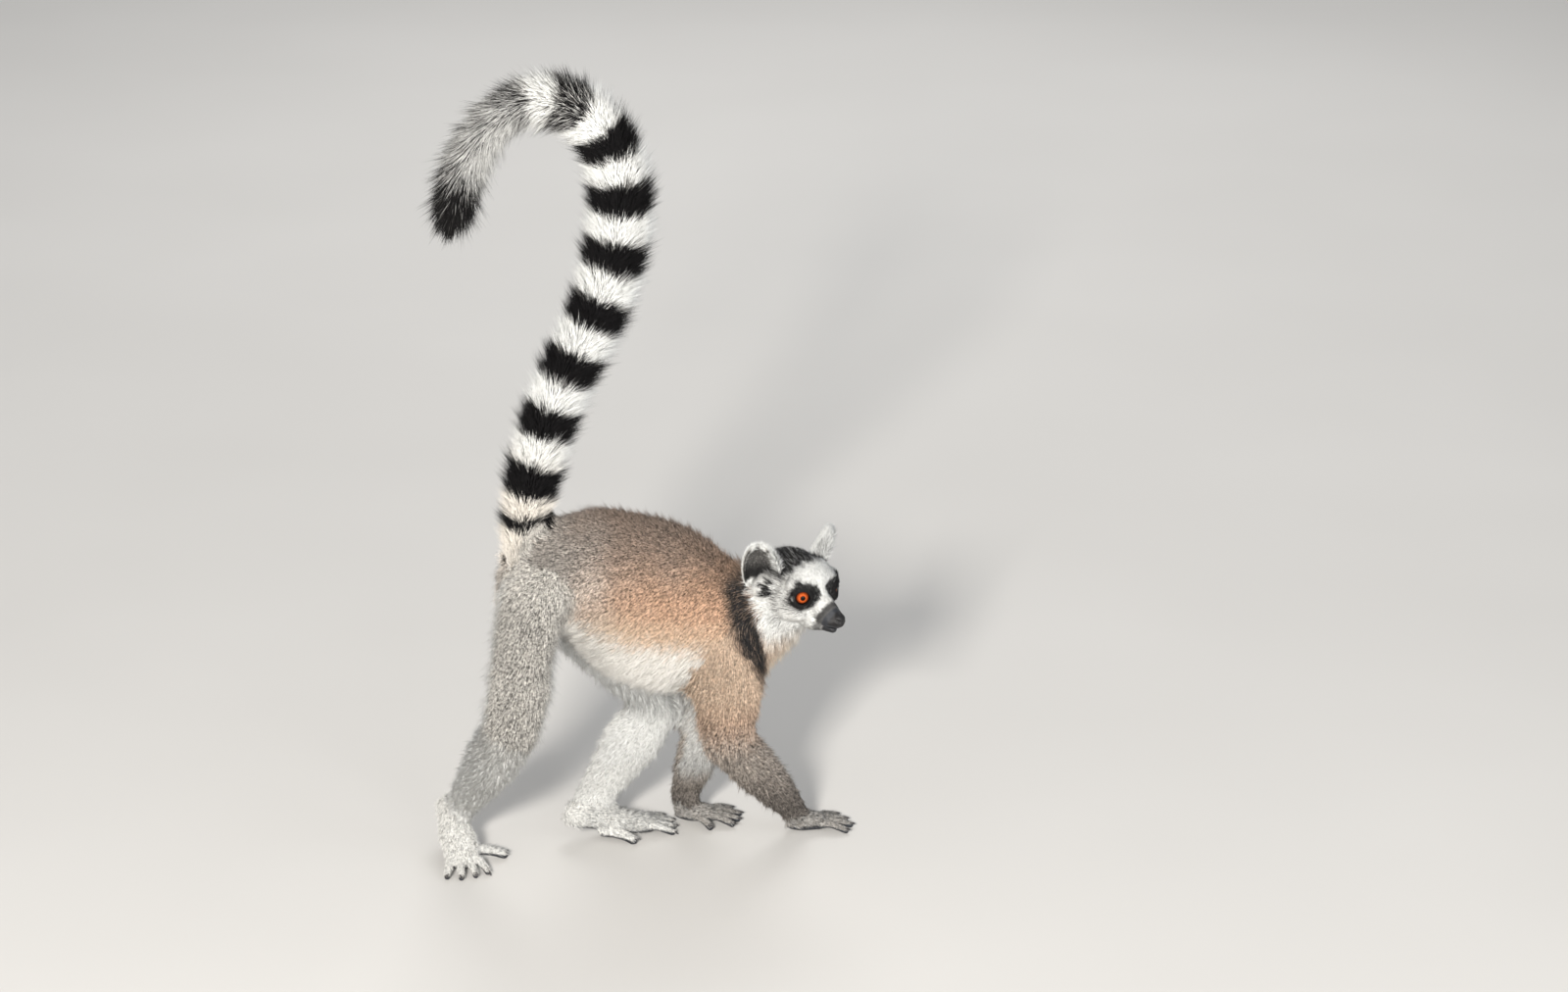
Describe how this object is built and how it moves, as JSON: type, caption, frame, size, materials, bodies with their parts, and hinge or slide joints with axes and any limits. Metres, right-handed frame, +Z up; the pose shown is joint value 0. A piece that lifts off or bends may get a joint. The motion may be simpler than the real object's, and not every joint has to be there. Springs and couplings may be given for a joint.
{
  "type": "ring-tailed lemur",
  "caption": "Life-size still model of a ring-tailed lemur walking, its head turned to its right and its banded tail raised in a hook.",
  "frame": {"origin": "on the floor, under the middle of the animal's box", "axes": "+X the way the animal walks, +Y its left, +Z up"},
  "size_m": [0.3808, 0.1582, 0.7165],
  "materials": {
    "grey_fur": "matt grey fur flecked light and dark",
    "brown_fur": "matt brown-grey to rufous fur",
    "white_fur": "matt white fur",
    "tail_fur": "long fur in black and white rings",
    "bare_skin": "bare black skin with a low sheen",
    "eye": "wet and glossy, orange-red with a black pupil",
    "claw": "smooth dark nails"
  },
  "bodies": {
    "root": {"head": "white_fur", "nose": "bare_skin", "eye_right": "eye", "eye_left": "eye", "rump": "grey_fur", "belly": "brown_fur", "chest": "brown_fur", "neck": "grey_fur", "ear_right": "white_fur", "ear_left": "white_fur", "tail_1": "tail_fur", "tail_2": "tail_fur", "tail_3": "tail_fur", "tail_4": "tail_fur", "tail_5": "tail_fur", "tail_6": "tail_fur", "tail_7": "tail_fur", "tail_8": "tail_fur", "foot_right": "white_fur", "thigh_right": "grey_fur", "shank_right": "grey_fur", "toe_right_1": "white_fur", "toe_right_2": "white_fur", "toe_right_3": "white_fur", "toe_right_4": "white_fur", "toe_right_5": "white_fur", "foot_left": "white_fur", "thigh_left": "grey_fur", "shank_left": "grey_fur", "toe_left_1": "white_fur", "toe_left_2": "white_fur", "toe_left_3": "white_fur", "toe_left_4": "white_fur", "toe_left_5": "white_fur", "hand_right": "grey_fur", "upper_arm_right": "brown_fur", "forearm_right": "grey_fur", "finger_right_1": "grey_fur", "finger_right_2": "grey_fur", "finger_right_3": "grey_fur", "finger_right_4": "grey_fur", "finger_right_5": "grey_fur", "hand_left": "grey_fur", "upper_arm_left": "brown_fur", "forearm_left": "grey_fur", "finger_left_1": "grey_fur", "finger_left_2": "grey_fur", "finger_left_3": "grey_fur", "finger_left_4": "grey_fur", "finger_left_5": "grey_fur"}
  },
  "joints": []
}
